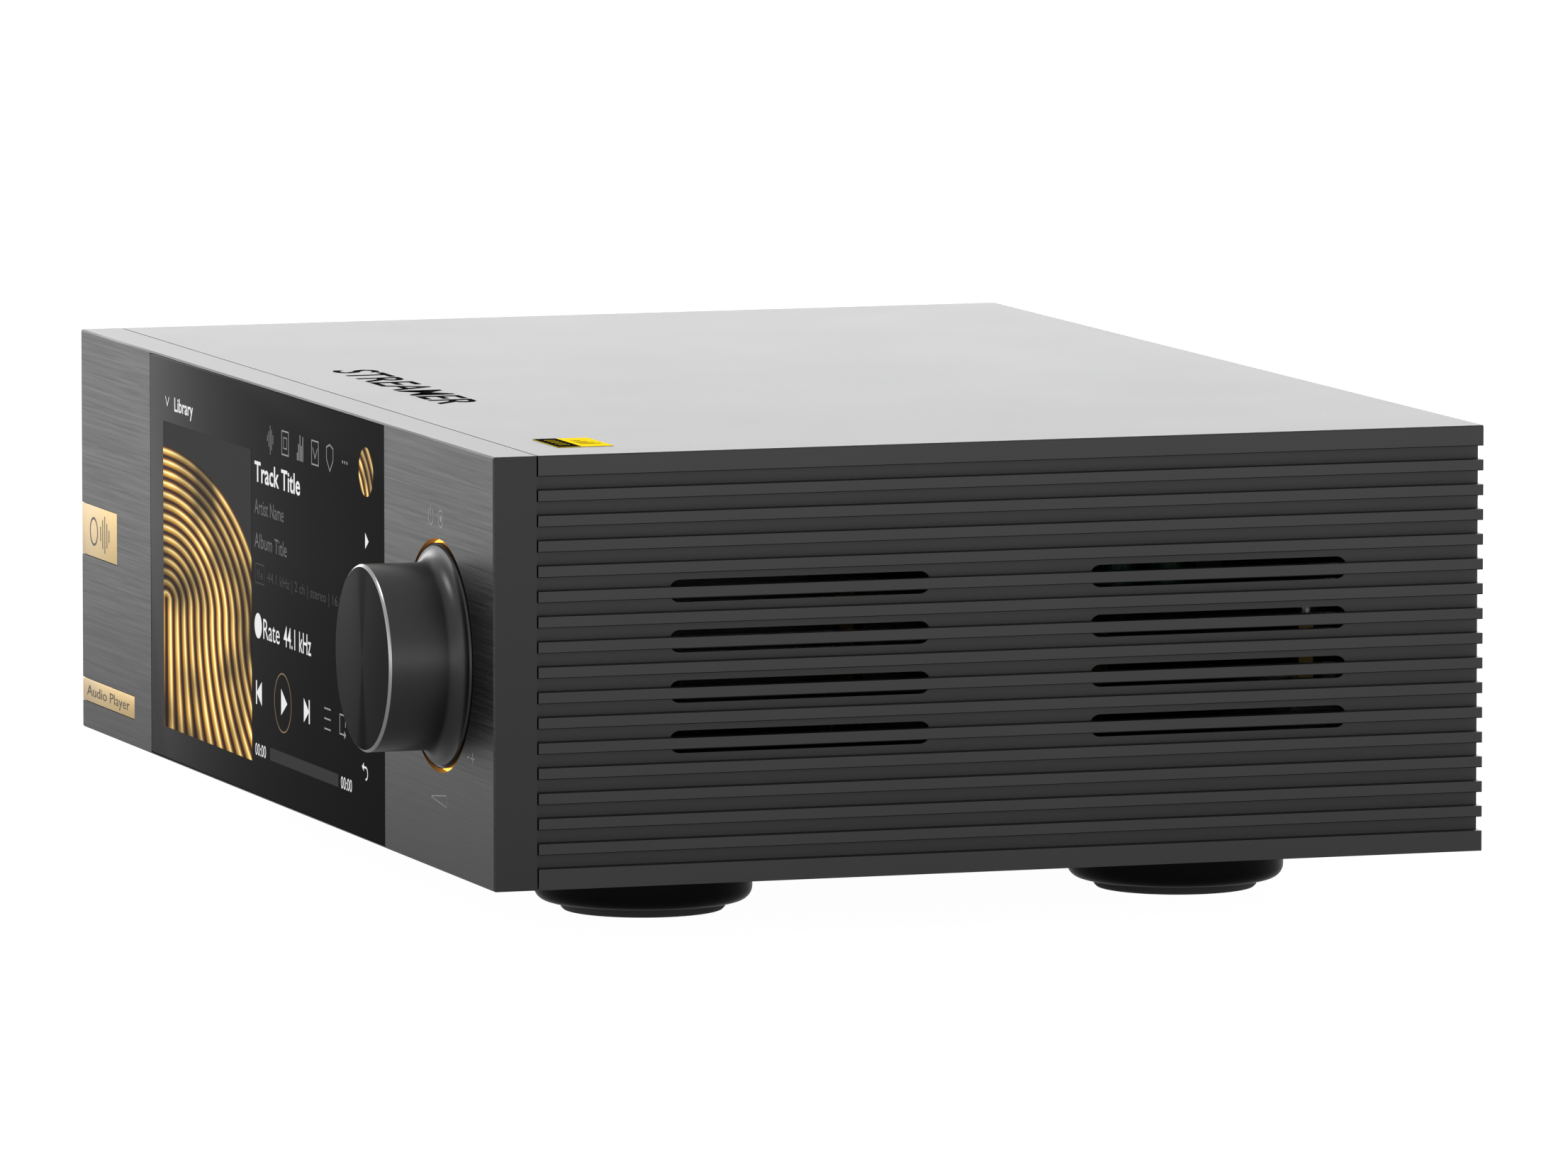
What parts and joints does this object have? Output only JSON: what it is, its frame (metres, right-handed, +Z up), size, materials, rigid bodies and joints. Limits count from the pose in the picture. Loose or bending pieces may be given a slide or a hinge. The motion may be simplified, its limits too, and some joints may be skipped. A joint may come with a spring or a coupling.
{
  "type": "network audio player",
  "caption": "Desktop network audio player: ribbed aluminium case on turned feet, touch display behind full-height glass, push-and-turn volume knob, rear sockets.",
  "frame": {"origin": "on the table, under the middle of the object's bounding box", "axes": "+X to the right seen from the front, +Y from the front panel to the rear, +Z up"},
  "size_m": [0.27, 0.2134, 0.0901],
  "materials": {
    "front_brushed": "brushed along its length, grey anodised",
    "cover_glass": "polished black glass",
    "display_black": "black display face",
    "pressed_steel": "plated sheet steel",
    "gold_badge": "brushed, gold anodised",
    "shell_anodised": "bead-blasted, dark grey anodised",
    "plate_black": "fine matt powder coat",
    "label_gold": "printed film",
    "knob_anodised": "turned, dark anodised",
    "screw_black": "black oxide",
    "turned_steel": "turned",
    "plunger_white": "moulded",
    "board_green": "solder mask",
    "diffuser_amber": "clear diffuser lit amber",
    "foot_black": "polished black",
    "rubber_black": "matt",
    "zinc_steel": "zinc plated",
    "standoff_brass": "turned hexagon",
    "heatsink_black": "black anodised",
    "ferrite_tape": "taped winding and ferrite",
    "capacitor_sleeve": "printed sleeve",
    "ribbon_film": "polyimide film",
    "lead_brown": "insulated wire",
    "moulded_black": "moulded thermoplastic",
    "rocker_gloss": "moulded",
    "nickel_contact": "nickel plated",
    "fuse_glass": "glass tube",
    "xlr_nickel": "satin nickel die casting",
    "gold_plate": "gold plated",
    "insert_white": "moulded insulator",
    "tongue_blue": "moulded contact carrier"
  },
  "bodies": {
    "root": {"front_panel": "front_brushed", "display_glass": "cover_glass", "display_panel": "display_black", "display_frame": "pressed_steel", "logo_plate": "gold_badge", "name_plate": "gold_badge", "outer_shell": "shell_anodised", "base_plate": "plate_black", "rear_panel": "plate_black", "front_bracket": "pressed_steel", "ssd_cover": "plate_black", "top_label": "label_gold", "encoder_bushing": "turned_steel", "encoder_nut": "turned_steel", "encoder_body": "pressed_steel", "knob_board": "board_green", "light_ring": "diffuser_amber", "led_board": "board_green", "foot_front_left": "foot_black", "foot_front_right": "foot_black", "foot_rear_left": "foot_black", "foot_rear_right": "foot_black", "foot_pads": "rubber_black", "foot_screws": "zinc_steel", "case_screws": "screw_black", "board_standoffs": "standoff_brass", "board_screws": "zinc_steel", "main_board": "board_green", "main_heatsink": "heatsink_black", "dac_board": "board_green", "power_board": "board_green", "power_transformer": "ferrite_tape", "power_capacitors": "capacitor_sleeve", "power_shield": "pressed_steel", "display_ribbon": "ribbon_film", "mains_leads": "lead_brown", "power_inlet": "moulded_black", "inlet_blades": "nickel_contact", "rocker_frame": "moulded_black", "xlr_left": "xlr_nickel", "xlr_right": "xlr_nickel", "xlr_pins": "gold_plate", "rca_jacks": "gold_plate", "rca_inserts": "insert_white", "optical_jacks": "moulded_black", "ethernet_jack": "pressed_steel", "port_shells": "pressed_steel", "port_tongues": "tongue_blue", "antenna_jacks": "gold_plate"},
    "plunger": {"push_plunger": "plunger_white"},
    "knob": {"volume_knob": "knob_anodised", "knob_set_screw": "screw_black", "encoder_shaft": "turned_steel"},
    "rocker": {"power_rocker": "rocker_gloss"},
    "drawer": {"fuse_drawer": "moulded_black", "fuse": "fuse_glass"},
    "flap_out": {"optical_flap_out": "moulded_black"},
    "flap_in": {"optical_flap_in": "moulded_black"}
  },
  "joints": [
    {"name": "knob_push", "type": "slide", "parent": "root", "child": "plunger", "axis": [0, 1, 0], "range_m": [0, 0.0006], "stiffness_N_per_m": 2500, "springref_m": -0.0003},
    {"name": "knob_turn", "type": "hinge", "parent": "plunger", "child": "knob", "pos_m": [0.1016, -0.0923, 0.05095], "axis": [0, 1, 0], "continuous": true},
    {"name": "rocker_tilt", "type": "hinge", "parent": "root", "child": "rocker", "pos_m": [-0.072, 0.0917, 0.0379], "axis": [1, 0, 0], "range_deg": [0, 24]},
    {"name": "drawer_slide", "type": "slide", "parent": "root", "child": "drawer", "axis": [0, 1, 0], "range_m": [0, 0.018]},
    {"name": "flap_out_swing", "type": "hinge", "parent": "root", "child": "flap_out", "pos_m": [0.003, 0.0945, 0.02985], "axis": [-1, 0, 0], "range_deg": [0, 80], "stiffness_Nm_per_rad": 0.0002, "springref_deg": -20.05},
    {"name": "flap_in_swing", "type": "hinge", "parent": "root", "child": "flap_in", "pos_m": [0.019, 0.0945, 0.02985], "axis": [-1, 0, 0], "range_deg": [0, 80], "stiffness_Nm_per_rad": 0.0002, "springref_deg": -20.05}
  ]
}
